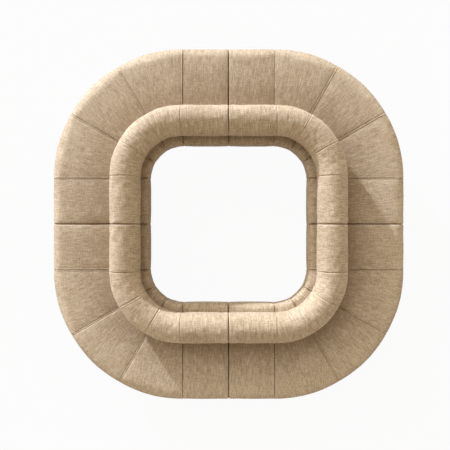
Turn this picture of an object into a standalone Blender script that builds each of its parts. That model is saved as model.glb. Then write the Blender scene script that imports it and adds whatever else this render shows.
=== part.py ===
# Modular ring sofa: four identical quarter modules stand round a clear opening, with the seats facing
# outwards and a roll-shaped backrest along the inner side. Each module is a padded slab on a plywood box
# frame and a welded steel stand, and hooks to its neighbours with vertical T tongues in C channels.
# Metres, +Z up, origin on the floor at the centre of the ring.
from math import atan2, cos, pi, radians, sin, tan

import bmesh
import bpy
from mathutils import Matrix, Vector

# Plan of the ring
OVERALL_WIDTH = 3.44  # between two opposite seat fronts
STRAIGHT_LENGTH = 0.445  # from the joint between two modules to the start of the bend
PLATFORM_DEPTH = 0.941  # from the seat front to the rim of the opening
MODULE_GAP = 0.010  # between the covers of two neighbours
BEND = 90.0  # degrees that one module turns through
BEND_PANELS = 3  # wedge-shaped panels of cloth in the bend

# Padded slab
SEAT_HEIGHT = 0.42
SLAB_THICKNESS = 0.24
SHOULDER_RADIUS = 0.09  # upper edges of the slab
UNDER_RADIUS = 0.09  # lower edges of the slab
COVER_WALL = 0.012  # cloth with its wadding
END_WALL = 0.004  # plain cloth over the ends of a module
CROWN_RISE = 0.003  # the seat's dome between the roll and the shoulder
SEAM_DRAW = 0.006  # how deep a seam is drawn in
SEAM_EASE = 0.0015  # what is left of that beside the seam
SEAM_REACH = 0.024  # from a seam to the full height of the panel
END_ROLL = 0.012  # rounded edge of the cover at a module's ends
END_DRAW = 0.008

# Backrest roll
ROLL_RADIUS = 0.141
ROLL_SETBACK = 0.197  # from the rim of the opening to the roll's centre line
ROLL_SEAM_DRAW = 0.004
ROLL_SEAM_EASE = 0.001
CORE_RADIUS = 0.0212
CORE_WALL = 0.003
POST_RADIUS = 0.0125
FLANGE_RADIUS = 0.040
FLANGE_THICKNESS = 0.004

# Plywood frame inside the slab
BOARD = 0.018
RAIL_SETBACK = 0.10  # from the slab's edge to the rail's outer face
DECK_OVERHANG = 0.055  # of the deck past the rails
FOAM_THICKNESS = 0.10  # over the deck
LINING = 0.0015  # black cloth under the frame
LINING_LAP = 0.02  # of that cloth past the rails

# Welded steel stand
BAR_WIDTH = 0.04
BAR_THICKNESS = 0.008
BAR_SETBACK = 0.17  # from the slab's edge to the middle of a bar
STAND_END_SETBACK = 0.09  # from the joint between two modules to the middle of an end bar
LEG_TOP_RADIUS = 0.024
LEG_FOOT_RADIUS = 0.015

# Steel links between modules
LINK_HEIGHT = 0.06
LINK_WIDTH = 0.06
LINK_RISE = 0.025  # above the underside of the slab
TONGUE_PLATE = 0.003
TONGUE_STEM_WIDTH = 0.012
TONGUE_HEAD_WIDTH = 0.034
TONGUE_HEAD = 0.0024
CHANNEL_BACK = 0.004
CHANNEL_LIP = 0.0025
CHANNEL_SIDE = 0.004
WINDOW_MARGIN = 0.002  # round a link's plate where the end cloth is cut out

CLEAR = 0.0003  # between pieces that touch
HOLE_CLEAR = 0.001  # round a post in foam and cloth
OVERRUN = 0.02  # of a cutter past what it cuts
MERGE = 0.00005

# Smoothness, as counts
SHOULDER_STEPS = 3
UNDER_STEPS = 2
HIDDEN_STEPS = 1
BEND_STEPS = 6
ROLL_SIDES = 14
ROLL_INSIDE_SIDES = 10
HIDDEN_SIDES = 6
LEG_SIDES = 10
SMOOTH_ANGLE = 35.0  # degrees between two faces that still look like one surface

# Where the panels are shaped between two seams, as shares of the panel's length
SEAT_PANEL_SHARES = (0.35, 0.65)
ROLL_PANEL_SHARES = (0.5,)
END_ROLL_SHARES = ((0.0, 1.0), (0.3, 0.4), (1.0, 0.0))  # along the rounded end, and what is left of its draw
POST_SPOT_SHARES = (0.0, 0.5, 1.0)  # of the bend, where the roll's posts stand

# Positions that follow from these. A section is drawn in (d, z): d runs outwards from the bend's centre.
OUTER = OVERALL_WIDTH / 2 - STRAIGHT_LENGTH
INNER = OUTER - PLATFORM_DEPTH
END = MODULE_GAP / 2
INSIDE_END = END + END_WALL
SLAB_BOTTOM = SEAT_HEIGHT - SLAB_THICKNESS
FLAT_TOP = SEAT_HEIGHT - CROWN_RISE
DECK_TOP = FLAT_TOP - COVER_WALL - FOAM_THICKNESS
DECK_BOTTOM = DECK_TOP - BOARD
RAIL_OUTER = OUTER - RAIL_SETBACK
RAIL_INNER = INNER + RAIL_SETBACK
LINING_TOP = SLAB_BOTTOM - CLEAR
STAND_TOP = LINING_TOP - LINING - CLEAR
ROLL_LINE = INNER + ROLL_SETBACK
ROLL_CENTRE = FLAT_TOP + CLEAR + ROLL_RADIUS * cos(pi / ROLL_SIDES)
LINK_LINE = (RAIL_INNER + RAIL_OUTER) / 2
LINK_BOTTOM = SLAB_BOTTOM + LINK_RISE

MODULES = ("ne", "nw", "sw", "se")

FABRIC = ((0.51, 0.40, 0.27), 0.9, 0.0)
FOAM = ((0.86, 0.80, 0.58), 0.95, 0.0)
PLYWOOD = ((0.62, 0.44, 0.25), 0.6, 0.0)
BLACK_STEEL = ((0.02, 0.02, 0.02), 0.45, 0.6)
ZINC_STEEL = ((0.55, 0.56, 0.57), 0.35, 1.0)
BLACK_CLOTH = ((0.03, 0.03, 0.03), 0.95, 0.0)


def clear_scene():
    for obj in list(bpy.data.objects):
        bpy.data.objects.remove(obj, do_unlink=True)


def new_collection(name):
    collection = bpy.data.collections.new(name)
    bpy.context.scene.collection.children.link(collection)
    return collection


def new_material(name, look):
    colour, roughness, metallic = look
    material = bpy.data.materials.new(name)
    material.use_nodes = True
    shader = material.node_tree.nodes["Principled BSDF"]
    shader.inputs["Base Color"].default_value = (*colour, 1.0)
    shader.inputs["Roughness"].default_value = roughness
    shader.inputs["Metallic"].default_value = metallic
    material.diffuse_color = (*colour, 1.0)
    return material


# Stations along a module's path: an origin point, and the direction in which d runs there


def straight_start(distance):
    """A station on the first straight, at this distance from the joint with the neighbour."""
    return Vector((STRAIGHT_LENGTH, distance, 0)), Vector((1, 0, 0))


def in_bend(share):
    angle = radians(BEND) * share
    return Vector((STRAIGHT_LENGTH, STRAIGHT_LENGTH, 0)), Vector((cos(angle), sin(angle), 0))


def straight_finish(distance):
    return Vector((distance, STRAIGHT_LENGTH, 0)), Vector((0, 1, 0))


def ring_at(station, section):
    origin, out = station
    return [origin + out * d + Vector((0, 0, z)) for d, z in section]


def plain_stations(end):
    """Stations for a hidden piece of one section, from this distance off one joint to the same off the other."""
    bend = [in_bend(step / BEND_STEPS) for step in range(BEND_STEPS + 1)]
    return [straight_start(end), *bend, straight_finish(end)]


def cover_stations(panel_shares, reach_at):
    """Stations of a sewn cover, each with how far the seams ("seam" and "ease") or the end draw it in."""
    panel = 1.0 / BEND_PANELS
    reach = SEAM_REACH / (radians(BEND) * reach_at)
    ends = [(END + END_ROLL * along, left) for along, left in END_ROLL_SHARES]
    straight = [(END + (STRAIGHT_LENGTH - END) / 2, 0.0)]
    start = [(straight_start(at), "end", left) for at, left in ends]
    start += [(straight_start(at), "end", left) for at, left in straight]
    start.append((straight_start(STRAIGHT_LENGTH - SEAM_REACH), "ease", 1.0))
    bend = []
    for number in range(BEND_PANELS):
        first = number * panel
        bend.append((in_bend(first), "seam", 1.0))
        bend.append((in_bend(first + reach), "ease", 1.0))
        bend += [(in_bend(first + panel * share), "end", 0.0) for share in panel_shares]
        bend.append((in_bend(first + panel - reach), "ease", 1.0))
    bend.append((in_bend(1.0), "seam", 1.0))
    finish = [(straight_finish(STRAIGHT_LENGTH - SEAM_REACH), "ease", 1.0)]
    finish += [(straight_finish(at), "end", left) for at, left in straight]
    finish += [(straight_finish(at), "end", left) for at, left in reversed(ends)]
    return start + bend + finish


# Sections


def arc(centre, radius, start, stop, steps):
    angles = [radians(start + (stop - start) * step / steps) for step in range(steps + 1)]
    return [(centre[0] + radius * cos(a), centre[1] + radius * sin(a)) for a in angles]


def slab_edges(inset, shoulder_steps, under_steps):
    """The slab's section this far inside its surface, from the outer underside over the top to the inner one."""
    outer, inner = OUTER - inset, INNER + inset
    top, bottom = FLAT_TOP - inset, SLAB_BOTTOM + inset
    shoulder = SHOULDER_RADIUS - inset
    under = UNDER_RADIUS - inset
    points = arc((outer - under, bottom + under), under, -90, 0, under_steps)
    points += arc((outer - shoulder, top - shoulder), shoulder, 0, 90, shoulder_steps)
    points += arc((inner + shoulder, top - shoulder), shoulder, 90, 180, shoulder_steps)
    points += arc((inner + under, bottom + under), under, 180, 270, under_steps)
    return points


def seat_form_section(inset):
    """The cover's outer section: the slab with a slight dome in front of the roll."""
    points = slab_edges(inset, SHOULDER_STEPS, UNDER_STEPS)
    front_of_roll = ROLL_LINE + ROLL_RADIUS
    shoulder_start = OUTER - SHOULDER_RADIUS
    dome = [
        ((front_of_roll + shoulder_start) / 2, SEAT_HEIGHT - inset),
        (front_of_roll, FLAT_TOP - inset),
    ]
    after_outer_shoulder = UNDER_STEPS + SHOULDER_STEPS + 2
    return points[:after_outer_shoulder] + dome + points[after_outer_shoulder:]


def seat_cavity_section():
    points = slab_edges(COVER_WALL, HIDDEN_STEPS, HIDDEN_STEPS)
    lip = SLAB_BOTTOM + COVER_WALL
    below = SLAB_BOTTOM - OVERRUN
    outer, inner = RAIL_OUTER + CLEAR, RAIL_INNER - CLEAR
    return [(outer, below), (outer, lip), *points, (inner, lip), (inner, below)]


def seat_foam_section():
    """Foam over the deck, and down beside the rails to the cover's lips."""
    points = slab_edges(COVER_WALL + CLEAR, HIDDEN_STEPS, HIDDEN_STEPS)
    lip = SLAB_BOTTOM + COVER_WALL + CLEAR
    outer, inner = RAIL_OUTER + CLEAR, RAIL_INNER - CLEAR
    deck_outer = RAIL_OUTER + DECK_OVERHANG + CLEAR
    deck_inner = RAIL_INNER - DECK_OVERHANG - CLEAR
    above, below = DECK_TOP + CLEAR, DECK_BOTTOM - CLEAR
    inner_side = [(inner, lip), (inner, below), (deck_inner, below), (deck_inner, above)]
    outer_side = [(deck_outer, above), (deck_outer, below), (outer, below), (outer, lip)]
    return [*points, *inner_side, *outer_side]


def roll_section(radius, sides):
    """A round section on the roll's line, with a flat side down."""
    angles = [pi * (2 * side + 1) / sides - pi / 2 for side in range(sides)]
    return [(ROLL_LINE + radius * cos(a), ROLL_CENTRE + radius * sin(a)) for a in angles]


# Shapes


def object_from(bm, name, collection):
    bmesh.ops.recalc_face_normals(bm, faces=bm.faces)
    mesh = bpy.data.meshes.new(name)
    bm.to_mesh(mesh)
    bm.free()
    obj = bpy.data.objects.new(name, mesh)
    collection.objects.link(obj)
    return obj


def sweep(name, rings, collection):
    """A closed solid drawn from ring to ring by extruding its end face each time."""
    bm = bmesh.new()
    order = bm.verts.layers.int.new("order")
    start = [bm.verts.new(point) for point in rings[0]]
    for number, vert in enumerate(start):
        vert[order] = number
    face = bm.faces.new(start)
    for number, ring in enumerate(rings[1:]):
        grown = bmesh.ops.extrude_face_region(bm, geom=[face])["geom"]
        if number:
            bmesh.ops.delete(bm, geom=[face], context="FACES_ONLY")
        face = next(item for item in grown if isinstance(item, bmesh.types.BMFace))
        for vert in face.verts:
            vert.co = ring[vert[order]]
    return object_from(bm, name, collection)


def plain_sweep(name, section, end, collection):
    return sweep(name, [ring_at(station, section) for station in plain_stations(end)], collection)


def plate(name, outline, low, high, collection):
    """A flat piece: a closed outline in plan, filled and given its thickness."""
    curve = bpy.data.curves.new(name, "CURVE")
    curve.dimensions = "2D"
    curve.fill_mode = "BOTH"
    curve.extrude = (high - low) / 2
    spline = curve.splines.new("POLY")
    spline.points.add(len(outline) - 1)
    for point, place in zip(spline.points, outline):
        point.co = (place[0], place[1], 0, 1)
    spline.use_cyclic_u = True
    drawn = bpy.data.objects.new(name, curve)
    drawn.location.z = (high + low) / 2
    collection.objects.link(drawn)
    mesh = evaluated_mesh(drawn)
    mesh.transform(drawn.matrix_world)
    bpy.data.objects.remove(drawn, do_unlink=True)
    bm = bmesh.new()
    bm.from_mesh(mesh)
    bmesh.ops.remove_doubles(bm, verts=bm.verts, dist=MERGE)
    return object_from(bm, name, collection)


def band(name, inner, outer, end, low, high, collection):
    """A flat piece that follows the path between two values of d."""
    stations = plain_stations(end)
    outline = [origin + out * outer for origin, out in stations]
    outline += [origin + out * inner for origin, out in reversed(stations)]
    return plate(name, outline, low, high, collection)


def box(name, size, place, collection):
    """A box along a station's direction: size is along d, across it and in height."""
    station, middle, across, height = place
    origin, out = station
    bm = bmesh.new()
    bmesh.ops.create_cube(bm, size=1)
    bmesh.ops.scale(bm, vec=size, verts=bm.verts)
    bmesh.ops.translate(bm, vec=(middle, across, height), verts=bm.verts)
    turn = Matrix.Rotation(atan2(out.y, out.x), 4, "Z")
    bmesh.ops.transform(bm, matrix=Matrix.Translation(origin) @ turn, verts=bm.verts)
    return object_from(bm, name, collection)


def cone(name, spot, radii, low, high, sides, collection):
    """A round upright piece at a point in plan, with its radii at the foot and at the top."""
    bm = bmesh.new()
    bmesh.ops.create_cone(
        bm, cap_ends=True, segments=sides, radius1=radii[0], radius2=radii[1], depth=high - low
    )
    bmesh.ops.translate(bm, vec=(spot.x, spot.y, (low + high) / 2), verts=bm.verts)
    return object_from(bm, name, collection)


def evaluated_mesh(obj):
    bpy.context.view_layer.update()
    graph = bpy.context.evaluated_depsgraph_get()
    return bpy.data.meshes.new_from_object(obj.evaluated_get(graph))


def apply_boolean(target, tools, operation):
    for tool in tools:
        step = target.modifiers.new(operation.lower(), "BOOLEAN")
        step.operation = operation
        step.solver = "EXACT"
        step.object = tool
        tool.hide_render = True
        tool.display_type = "WIRE"


# Pieces of one module, each returned as an object in the north-east quarter


def post_spots():
    stations = [in_bend(share) for share in POST_SPOT_SHARES]
    return [origin + out * ROLL_LINE for origin, out in stations]


def post_cutters(collection):
    """Room for the posts and their flanges in foam and cloth."""
    cutters = []
    for number, spot in enumerate(post_spots()):
        radius = POST_RADIUS + HOLE_CLEAR
        shaft = cone(
            f"post_room_{number}", spot, (radius, radius), DECK_TOP - CLEAR, ROLL_CENTRE, HIDDEN_SIDES, collection
        )
        cutters.append(shaft)
    return cutters


def flange_cutters(collection):
    radius = FLANGE_RADIUS + HOLE_CLEAR
    top = DECK_TOP + CLEAR + FLANGE_THICKNESS + CLEAR
    spots = enumerate(post_spots())
    return [
        cone(f"flange_room_{n}", spot, (radius, radius), DECK_TOP - CLEAR, top, HIDDEN_SIDES, collection)
        for n, spot in spots
    ]


def seat_cover(parts, cutters):
    draws = {"end": END_DRAW, "seam": SEAM_DRAW, "ease": SEAM_EASE}
    middle = (INNER + OUTER) / 2
    rings = [
        ring_at(station, seat_form_section(draws[kind] * left))
        for station, kind, left in cover_stations(SEAT_PANEL_SHARES, middle)
    ]
    cover = sweep("seat_cover", rings, parts)
    cavity = plain_sweep("seat_cavity", seat_cavity_section(), INSIDE_END, cutters)
    apply_boolean(cover, [cavity, *link_windows(cutters), *post_cutters(cutters)], "DIFFERENCE")
    return cover


def link_windows(cutters):
    """Cut-outs in the cloth of both ends, where the links are screwed to the end boards."""
    size = (LINK_WIDTH + 2 * WINDOW_MARGIN, 2 * END_WALL + 2 * END_DRAW, LINK_HEIGHT + 2 * WINDOW_MARGIN)
    height = LINK_BOTTOM + LINK_HEIGHT / 2
    start = box("window_start", size, (straight_start(END), LINK_LINE, 0, height), cutters)
    finish = box("window_finish", size, (straight_finish(END), LINK_LINE, 0, height), cutters)
    return start, finish


def seat_foam(parts, cutters):
    foam = plain_sweep("seat_foam", seat_foam_section(), INSIDE_END + CLEAR, parts)
    apply_boolean(foam, [*post_cutters(cutters), *flange_cutters(cutters)], "DIFFERENCE")
    return foam


def end_board(name, straight, parts):
    """The board that closes the frame at a module's end."""
    low, high = SLAB_BOTTOM, DECK_BOTTOM - CLEAR
    size = (RAIL_OUTER - RAIL_INNER, BOARD, high - low)
    station = straight(INSIDE_END + CLEAR + BOARD / 2)
    return box(name, size, (station, (RAIL_INNER + RAIL_OUTER) / 2, 0, (low + high) / 2), parts)


def rail(name, inner, outer, parts):
    """A bent rail between the two end boards."""
    end = INSIDE_END + CLEAR + BOARD + CLEAR
    return band(name, inner, outer, end, SLAB_BOTTOM, DECK_BOTTOM - CLEAR, parts)


def middle_rib(parts):
    low, high = SLAB_BOTTOM, DECK_BOTTOM - CLEAR
    # The rails are faceted in plan, and the rib stands where two facets of the outer one lean inwards
    facet_lean = BOARD / 2 * tan(radians(BEND) / BEND_STEPS / 2)
    inner, outer = RAIL_INNER + BOARD + CLEAR, RAIL_OUTER - BOARD - CLEAR - facet_lean
    size = (outer - inner, BOARD, high - low)
    place = (in_bend(POST_SPOT_SHARES[1]), (inner + outer) / 2, 0, (low + high) / 2)
    return box("middle_rib", size, place, parts)


def seat_deck(parts):
    inner, outer = RAIL_INNER - DECK_OVERHANG, RAIL_OUTER + DECK_OVERHANG
    return band("seat_deck", inner, outer, INSIDE_END + CLEAR, DECK_BOTTOM, DECK_TOP, parts)


def dust_cover(parts):
    inner, outer = RAIL_INNER - LINING_LAP, RAIL_OUTER + LINING_LAP
    return band("dust_cover", inner, outer, INSIDE_END, LINING_TOP - LINING, LINING_TOP, parts)


def back_core(parts, cutters):
    """A bent steel tube with three posts and their flanges, welded into one piece."""
    section = roll_section(CORE_RADIUS, HIDDEN_SIDES)
    core = plain_sweep("back_core", section, INSIDE_END + CLEAR, parts)
    bore = plain_sweep("core_bore", roll_section(CORE_RADIUS - CORE_WALL, HIDDEN_SIDES), -OVERRUN, cutters)
    foot = DECK_TOP + CLEAR
    welded = []
    for number, spot in enumerate(post_spots()):
        radii = (POST_RADIUS, POST_RADIUS)
        top = ROLL_CENTRE - CORE_RADIUS + CORE_WALL
        welded.append(cone(f"post_{number}", spot, radii, foot, top, HIDDEN_SIDES, cutters))
        radii = (FLANGE_RADIUS, FLANGE_RADIUS)
        plate_top = foot + FLANGE_THICKNESS
        welded.append(cone(f"flange_{number}", spot, radii, foot, plate_top, HIDDEN_SIDES, cutters))
    apply_boolean(core, welded, "UNION")
    apply_boolean(core, [bore], "DIFFERENCE")
    return core


def back_foam(parts, cutters):
    section = roll_section(ROLL_RADIUS - COVER_WALL - CLEAR, ROLL_INSIDE_SIDES)
    foam = plain_sweep("back_foam", section, INSIDE_END + CLEAR, parts)
    bore = plain_sweep("foam_bore", roll_section(CORE_RADIUS + CLEAR, HIDDEN_SIDES), -OVERRUN, cutters)
    apply_boolean(foam, [bore, *post_cutters(cutters)], "DIFFERENCE")
    return foam


def back_cover(parts, cutters):
    draws = {"end": END_DRAW, "seam": ROLL_SEAM_DRAW, "ease": ROLL_SEAM_EASE}
    rings = [
        ring_at(station, roll_section(ROLL_RADIUS - draws[kind] * left, ROLL_SIDES))
        for station, kind, left in cover_stations(ROLL_PANEL_SHARES, ROLL_LINE)
    ]
    cover = sweep("back_cover", rings, parts)
    section = roll_section(ROLL_RADIUS - COVER_WALL, ROLL_INSIDE_SIDES)
    cavity = plain_sweep("roll_cavity", section, INSIDE_END, cutters)
    apply_boolean(cover, [cavity, *post_cutters(cutters)], "DIFFERENCE")
    return cover


def stand(parts, cutters):
    """Two bent flat bars, three cross bars and six tapered legs, welded together."""
    low, high = STAND_TOP - BAR_THICKNESS, STAND_TOP
    outer_bar, inner_bar = OUTER - BAR_SETBACK, INNER + BAR_SETBACK
    half = BAR_WIDTH / 2
    end = STAND_END_SETBACK - half
    frame = band("stand", outer_bar - half, outer_bar + half, end, low, high, parts)
    welded = [band("inner_bar", inner_bar - half, inner_bar + half, end, low, high, cutters)]
    stations = (straight_start(STAND_END_SETBACK), in_bend(POST_SPOT_SHARES[1]), straight_finish(STAND_END_SETBACK))
    for number, station in enumerate(stations):
        size = (outer_bar - inner_bar, BAR_WIDTH, high - low)
        place = (station, (inner_bar + outer_bar) / 2, 0, (low + high) / 2)
        welded.append(box(f"cross_bar_{number}", size, place, cutters))
        origin, out = station
        for side, d in (("outer", outer_bar), ("inner", inner_bar)):
            spot = origin + out * d
            radii = (LEG_FOOT_RADIUS, LEG_TOP_RADIUS)
            top = (low + high) / 2
            welded.append(cone(f"{side}_leg_{number}", spot, radii, 0, top, LEG_SIDES, cutters))
    apply_boolean(frame, welded, "UNION")
    return frame


def link_tongue(parts):
    """A T tongue on the first end board, with its head past the joint in the neighbour's channel."""
    face = INSIDE_END
    back = face - CLEAR - TONGUE_PLATE
    head_far = CHANNEL_BACK + 2 * CLEAR - face
    head_near = head_far + TONGUE_HEAD
    half, stem, head = LINK_WIDTH / 2, TONGUE_STEM_WIDTH / 2, TONGUE_HEAD_WIDTH / 2
    side = [(half, face - CLEAR), (half, back), (stem, back), (stem, head_near), (head, head_near), (head, head_far)]
    section = side + [(-d, n) for d, n in reversed(side)]
    middle = STRAIGHT_LENGTH + LINK_LINE
    outline = [(middle + d, n) for d, n in section]
    return plate("link_tongue", outline, LINK_BOTTOM, LINK_BOTTOM + LINK_HEIGHT, parts)


def link_channel(parts):
    """A C channel on the other end board, which holds the neighbour's tongue."""
    face = INSIDE_END - CLEAR
    floor = face - CHANNEL_BACK
    lip_top = floor - TONGUE_HEAD - 2 * CLEAR
    lip_end = lip_top - CHANNEL_LIP
    room = TONGUE_HEAD_WIDTH / 2 + CLEAR
    slot = TONGUE_STEM_WIDTH / 2 + CLEAR
    body = room + CHANNEL_SIDE
    half = LINK_WIDTH / 2
    side = [(half, face), (half, floor), (body, floor), (body, lip_end), (slot, lip_end), (slot, lip_top)]
    side += [(room, lip_top), (room, floor)]
    section = side + [(-d, n) for d, n in reversed(side)]
    middle = STRAIGHT_LENGTH + LINK_LINE
    outline = [(n, middle + d) for d, n in section]
    return plate("link_channel", outline, LINK_BOTTOM, LINK_BOTTOM + LINK_HEIGHT, parts)


def quarter_pieces(parts, cutters):
    """Every piece of one module, with its finish."""
    return [
        (seat_cover(parts, cutters), FABRIC),
        (seat_foam(parts, cutters), FOAM),
        (seat_deck(parts), PLYWOOD),
        (rail("outer_rail", RAIL_OUTER - BOARD, RAIL_OUTER, parts), PLYWOOD),
        (rail("inner_rail", RAIL_INNER, RAIL_INNER + BOARD, parts), PLYWOOD),
        (end_board("first_end_board", straight_start, parts), PLYWOOD),
        (end_board("second_end_board", straight_finish, parts), PLYWOOD),
        (middle_rib(parts), PLYWOOD),
        (dust_cover(parts), BLACK_CLOTH),
        (back_core(parts, cutters), BLACK_STEEL),
        (back_foam(parts, cutters), FOAM),
        (back_cover(parts, cutters), FABRIC),
        (stand(parts, cutters), BLACK_STEEL),
        (link_tongue(parts), ZINC_STEEL),
        (link_channel(parts), ZINC_STEEL),
    ]


def place_modules(pieces, parts):
    """Four copies of the quarter, each under an empty on its joint axis at the ring's centre."""
    for number, module in enumerate(MODULES):
        centre = bpy.data.objects.new(f"{module}_module", None)
        centre.rotation_euler.z = radians(BEND) * number
        parts.objects.link(centre)
        for name, mesh in pieces:
            obj = bpy.data.objects.new(f"{module}_{name}", mesh)
            obj.parent = centre
            parts.objects.link(obj)


def main():
    clear_scene()
    parts = new_collection("ring_sofa")
    cutters = new_collection("cutters")
    finished = []
    quarter = quarter_pieces(parts, cutters)
    for obj, look in quarter:
        mesh = evaluated_mesh(obj)
        mesh.name = obj.name
        mesh.materials.clear()
        mesh.materials.append(new_material(obj.name, look))
        mesh.shade_smooth()
        mesh.set_sharp_from_angle(angle=radians(SMOOTH_ANGLE))
        finished.append((obj.name, mesh))
    for obj, _ in quarter:
        bpy.data.objects.remove(obj, do_unlink=True)
    place_modules(finished, parts)


main()
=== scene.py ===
from math import cos, hypot, pi, radians, sin

import bmesh
import bpy
import numpy as np
from mathutils import Matrix, Vector, noise


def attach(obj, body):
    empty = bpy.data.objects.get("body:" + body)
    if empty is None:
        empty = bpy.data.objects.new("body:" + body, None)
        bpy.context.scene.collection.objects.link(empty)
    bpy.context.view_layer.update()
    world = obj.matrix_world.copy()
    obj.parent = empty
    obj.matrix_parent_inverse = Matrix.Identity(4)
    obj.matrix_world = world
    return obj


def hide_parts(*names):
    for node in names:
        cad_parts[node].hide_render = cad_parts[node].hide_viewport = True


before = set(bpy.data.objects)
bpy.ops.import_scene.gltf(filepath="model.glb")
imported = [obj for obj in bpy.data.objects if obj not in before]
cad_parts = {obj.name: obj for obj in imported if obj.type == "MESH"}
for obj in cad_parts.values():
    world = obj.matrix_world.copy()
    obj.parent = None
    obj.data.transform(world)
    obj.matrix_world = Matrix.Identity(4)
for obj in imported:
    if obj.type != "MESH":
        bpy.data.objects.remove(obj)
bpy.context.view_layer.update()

# The stand under each module: two flat bars bent to the ring's line, three cross bars and six tapered
# legs. It is mild steel, welded together, powder-coated black and screwed up into the plywood frame.
MODULES = ("ne", "nw", "sw", "se")
STRAIGHT = 0.445
OUTER = 1.275
INNER = 0.334
BAR_WIDTH = 0.04
BAR_TOP = 0.1779
BAR_BOTTOM = 0.1699
BAR_CORNER = 0.0015
BAR_INSET = 0.17
BAR_LINES = (INNER + BAR_INSET, OUTER - BAR_INSET)
STAND_SETBACK = 0.09
BEND_STEPS = 32
LEG_SIDES = 28
SHARP_ANGLE = 32.0
LEG_TOP = BAR_BOTTOM + 0.0006
LEG_PROFILE = (
    (0.0, 0.0105), (0.0142, 0.0105), (0.0149, 0.0112), (0.0152, 0.014), (0.0196, 0.09), (0.0236, 0.160),
    (0.0241, 0.1655), (0.0262, 0.1672), (0.0281, 0.1690), (0.0288, LEG_TOP), (0.0, LEG_TOP),
)
GLIDE_PROFILE = (
    (0.0, 0.0), (0.0112, 0.0), (0.0126, 0.0007), (0.0132, 0.0022), (0.0133, 0.0096), (0.0120, 0.0108),
    (0.0, 0.0108),
)
SCREW_PROFILE = (
    (0.0, 0.0004), (0.0022, 0.0004), (0.0026, -0.0022), (0.0044, -0.0031), (0.0062, -0.0026),
    (0.0076, -0.0012), (0.0080, 0.0), (0.0104, 0.0002), (0.0106, 0.0012), (0.0, 0.0012),
)
SCREW_SIDES = 12
SCREW_LAPS = (0.55, 1.17, 1.36, 1.64, 1.83, 2.45)


class Signal:
    """A socket in a node tree, on which sums are written as on a number."""

    def __init__(self, nodes, socket):
        self.nodes, self.socket = nodes, socket

    def sum(self, operation, first, second):
        return self.nodes.node("ShaderNodeMath", {"operation": operation}, {0: first, 1: second})

    def __add__(self, other):
        return self.sum("ADD", self, other)

    def __sub__(self, other):
        return self.sum("SUBTRACT", self, other)

    def __rsub__(self, other):
        return self.sum("SUBTRACT", other, self)

    def __mul__(self, other):
        return self.sum("MULTIPLY", self, other)

    def sine(self):
        return self.nodes.node("ShaderNodeMath", {"operation": "SINE"}, {0: self})

    __radd__ = __add__
    __rmul__ = __mul__


class Nodes:
    """A node tree that is filled by one call for each node."""

    def __init__(self, tree):
        self.tree = tree

    def node(self, kind, settings=None, values=None, output=0):
        made = self.tree.nodes.new(kind)
        for name, setting in (settings or {}).items():
            if name == "stops":
                self.fill_ramp(made.color_ramp, setting)
            else:
                setattr(made, name, setting)
        self.connect(made, values or {})
        return Signal(self, made.outputs[output])

    def fill_ramp(self, ramp, stops):
        while len(ramp.elements) < len(stops):
            ramp.elements.new(1.0)
        for element, (place, colour) in zip(ramp.elements, stops):
            element.position = place
            element.color = (*colour, 1.0)

    def connect(self, made, values):
        for name, value in values.items():
            if isinstance(value, Signal):
                self.tree.links.new(value.socket, made.inputs[name])
            else:
                made.inputs[name].default_value = value


class Finish(Nodes):
    """A procedural material round one Principled shader."""

    def __init__(self, name, constants):
        self.material = bpy.data.materials.new(name)
        self.material.use_nodes = True
        super().__init__(self.material.node_tree)
        self.shader = self.tree.nodes["Principled BSDF"]
        self.surface(constants)

    def surface(self, values):
        self.connect(self.shader, values)

    def part(self, vector, number):
        return self.node("ShaderNodeSeparateXYZ", None, {0: vector}, output=number)

    def place(self):
        return self.node("ShaderNodeTexCoord", output="Object")

    def cloud(self, vector, scale, detail=2.0, rough=0.5):
        """Noise from 0 to 1 round a half, at so many waves to a metre."""
        values = {"Vector": vector, "Scale": scale, "Detail": detail, "Roughness": rough}
        return self.node("ShaderNodeTexNoise", None, values)

    def stretched(self, vector, scale):
        return self.node("ShaderNodeMapping", None, {"Vector": vector, "Scale": scale})

    def ramp(self, factor, stops):
        return self.node("ShaderNodeValToRGB", {"stops": stops}, {0: factor})

    def bump(self, height, depth, strength=1.0):
        values = {"Height": height, "Distance": depth, "Strength": strength}
        return self.node("ShaderNodeBump", None, values)


def powder_coat():
    """Black polyester powder coat: a fine orange peel, a little dust, and a satin sheen."""
    coat = Finish("black_powder_coat", {"Metallic": 0.0, "Specular IOR Level": 0.5})
    place = coat.place()
    peel = coat.cloud(place, 900.0, 1.0)
    dust = coat.cloud(place, 14.0, 4.0, 0.6)
    coat.surface({
        "Base Color": coat.ramp(dust, ((0.3, (0.012, 0.012, 0.013)), (0.75, (0.032, 0.030, 0.028)))),
        "Roughness": 0.36 + 0.22 * dust,
        "Normal": coat.bump(peel, 0.00012, 0.7),
    })
    return coat.material


def moulded_nylon():
    """Black nylon glides, scuffed grey where they rub the floor."""
    nylon = Finish("black_nylon", {"Specular IOR Level": 0.4})
    place = nylon.place()
    scuff = nylon.cloud(nylon.stretched(place, (1.0, 1.0, 6.0)), 260.0, 3.0) - 120.0 * nylon.part(place, 2)
    nylon.surface({
        "Base Color": nylon.ramp(scuff, ((0.1, (0.018, 0.018, 0.018)), (0.7, (0.11, 0.105, 0.10)))),
        "Roughness": 0.5 + 0.2 * scuff,
    })
    return nylon.material


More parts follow.
